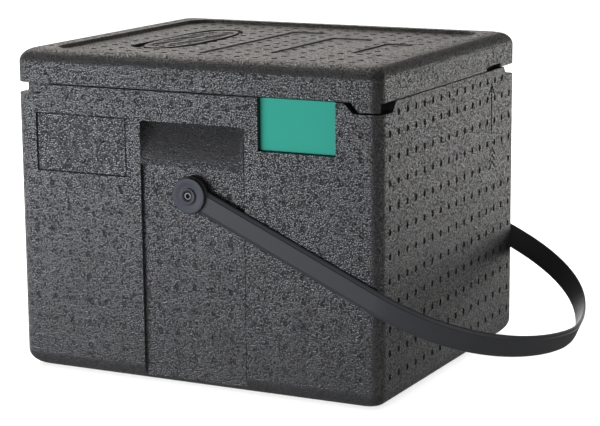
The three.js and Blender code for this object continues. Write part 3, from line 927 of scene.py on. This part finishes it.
green_mat = plastic_material("green_plastic", (0.03, 0.45, 0.332), 0.5, grain=0.1, vary=0.06, gloss_level=0.12)
steel_mat = steel_material("bright_steel")
# near-black plastic painted into the screw sockets as their shade
painted_socket_shade = plastic_material("socket_shade", (0.006, 0.006, 0.006), 0.6, gloss_level=0.1)


def dress(ob, mat, body_name, slot, *nodes, extra=()):
    marks = [poly.material_index for poly in ob.data.polygons]
    ob.data.materials.clear()
    for each in (mat, *extra):
        ob.data.materials.append(each)
    ob.data.polygons.foreach_set("material_index", [k if k <= len(extra) else 0 for k in marks])
    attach(ob, body_name)
    if nodes:
        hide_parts(*nodes)
    return ob


dress(body, foam, "box", "foam_body", "body", extra=(vent, soft_vent))
dress(lid, foam_top, "lid", "foam_lid", "lid", extra=(vent,))
dress(strap, strap_mat, "strap", "strap_plastic", "strap_handle")
dress(label, green_mat, "box", "label_plastic", "label_plate")
for disc, collar, screw, tag in hardware:
    dress(disc, disc_mat, "box", "disc_plastic", "pivot_disc_" + tag)
    dress(collar, disc_mat, "box", "disc_plastic", "collar_" + tag)
    dress(screw, steel_mat, "box", "screw_steel", "screw_" + tag, extra=(painted_socket_shade,))
    for n in ("strap_spacer_" + tag, "flanged_sleeve_" + tag):
        node = frame["nodes"][n]
        node.data.materials.clear()
        node.data.materials.append(nylon_mat)

# --------------------------------------------------------------------- stage
floor = mesh_object("floor", [(-40, -40, -0.0004), (40, -40, -0.0004), (40, 40, -0.0004), (-40, 40, -0.0004)],
                    [(0, 1, 2, 3)])
fm, ft, fb = material("pale_floor")
fb.inputs["Base Color"].default_value = (0.9, 0.9, 0.9, 1)
fb.inputs["Roughness"].default_value = 0.9
fb.inputs["Specular IOR Level"].default_value = 0.1
floor.data.materials.append(fm)

# Pale surroundings, darker overhead.
world = bpy.data.worlds.new("studio")
scene.world = world
world.use_nodes = True
wt = world.node_tree
wt.nodes.clear()
wo = wt.nodes.new("ShaderNodeOutputWorld")
wb = wt.nodes.new("ShaderNodeBackground")
wt.links.new(wb.outputs[0], wo.inputs[0])
wc = wt.nodes.new("ShaderNodeTexCoord")
ws = wt.nodes.new("ShaderNodeSeparateXYZ")
wt.links.new(wc.outputs["Generated"], ws.inputs[0])
wr = wt.nodes.new("ShaderNodeValToRGB")
wr.color_ramp.elements[0].position = 0.0
wr.color_ramp.elements[0].color = (0.2, 0.197, 0.194, 1)
wr.color_ramp.elements[1].position = 0.75
wr.color_ramp.elements[1].color = (0.05, 0.05, 0.051, 1)
for pos, grey in ((0.15, 0.2), (0.3, 0.08)):
    e = wr.color_ramp.elements.new(pos)
    e.color = (grey, grey * 0.985, grey * 0.97, 1)
wt.links.new(ws.outputs["Z"], wr.inputs[0])
wt.links.new(wr.outputs[0], wb.inputs["Color"])
wb.inputs["Strength"].default_value = 1.0


# Only the camera sees the floor's own sheen; the soft cards below reach the object freely.
floor.visible_glossy = False
floor.visible_diffuse = False
blockers = bpy.data.collections.new("object_only")
for o in scene.objects:
    if o.type == "MESH" and o is not floor:
        blockers.objects.link(o)


def softbox(name, azimuth, elevation, distance, size, radiance, colour, aim=(0, 0, 0.16)):
    """Azimuth 0 is out of the front, 90 out of the right end."""
    a, e = math.radians(azimuth), math.radians(elevation)
    aim = Vector(aim)
    d = Vector((math.sin(a) * math.cos(e), -math.cos(a) * math.cos(e), math.sin(e)))
    l = bpy.data.lights.new(name, "AREA")
    l.shape = "RECTANGLE"
    l.size, l.size_y = size
    l.energy = radiance * math.pi * size[0] * size[1]
    l.color = colour
    o = bpy.data.objects.new(name, l)
    scene.collection.objects.link(o)
    o.location = aim + d * distance
    o.rotation_euler = (-d).to_track_quat("-Z", "Y").to_euler()
    o.visible_camera = False
    o.light_linking.blocker_collection = blockers
    return o


softbox("card_front_left", -36, -5.2, 1.7, (1.5, 0.46), 10.6, (0.92, 0.94, 1.0))
softbox("card_back_right", 149, -2, 1.6, (1.1, 0.6), 3.15, (1.0, 0.985, 0.97))
softbox("card_back_left", -143, 27, 2.6, (2.2, 2.2), 1.55, (1.0, 0.965, 0.92))
softbox("card_top", -122, 57, 2.4, (1.3, 1.1), 6.0, (1.0, 0.95, 0.87))
softbox("card_corner", 74, -11, 1.7, (1.05, 0.5), 2.1, (1.0, 0.98, 0.96))
softbox("card_front", 3, -3, 1.7, (0.5, 0.3), 3.4, (0.96, 0.97, 1.0))
softbox("card_left", -92, -10, 1.7, (1.0, 0.5), 4.6, (1.0, 0.99, 0.98))
softbox("card_back", 186, -12, 1.7, (0.75, 0.5), 3.6, (1.0, 0.99, 0.97))
only_strap = bpy.data.collections.new("strap_only")
only_strap.objects.link(strap)
glint = softbox("card_front_right", 42, -10, 1.7, (1.3, 0.5), 2.6, (1.0, 0.99, 0.97))
glint.light_linking.receiver_collection = only_strap
glint = softbox("card_behind", -157, -18, 1.7, (0.75, 0.6), 3.0, (1.0, 1.0, 1.0))
glint.light_linking.receiver_collection = only_strap

# Wide overhead light for the floor alone, which keeps it pale and even.
only_floor = bpy.data.collections.new("floor_only")
only_floor.objects.link(floor)
for name, energy, shadow in (("floor_light", 1.8, True), ("floor_fill", 2.5, False)):
    sun = bpy.data.lights.new(name, "SUN")
    sun.energy = energy
    sun.angle = math.radians(130)
    sun_ob = bpy.data.objects.new(name, sun)
    scene.collection.objects.link(sun_ob)
    sun_ob.light_linking.receiver_collection = only_floor
    if not shadow:
        sun_ob.light_linking.blocker_collection = only_floor

# -------------------------------------------------------------------- camera
cam_data = bpy.data.cameras.new("camera")
cam = bpy.data.objects.new("camera", cam_data)
scene.collection.objects.link(cam)
scene.camera = cam
cam_data.sensor_width = 36.0
cam_data.lens = 122.333
cam_data.clip_start = 0.05
cam_data.clip_end = 200.0
yaw, pitch, roll = 0.47232456, 0.19710966, -0.00840514
fwd = Vector((-math.sin(yaw) * math.cos(pitch), math.cos(yaw) * math.cos(pitch), -math.sin(pitch)))
right = Vector((math.cos(yaw), math.sin(yaw), 0.0))
up = right.cross(fwd)
cr, sr = math.cos(roll), math.sin(roll)
r2, u2 = cr * right + sr * up, -sr * right + cr * up
m = Matrix.Identity(4)
for i in range(3):
    m[i][0], m[i][1], m[i][2] = r2[i], u2[i], -fwd[i]
m[0][3], m[1][3], m[2][3] = 0.943529, -1.789419, 0.543515
cam.matrix_world = m

scene.view_settings.view_transform = "Standard"
scene.view_settings.look = "None"
scene.view_settings.exposure = 0.0
scene.view_settings.gamma = 1.0

bpy.context.view_layer.update()
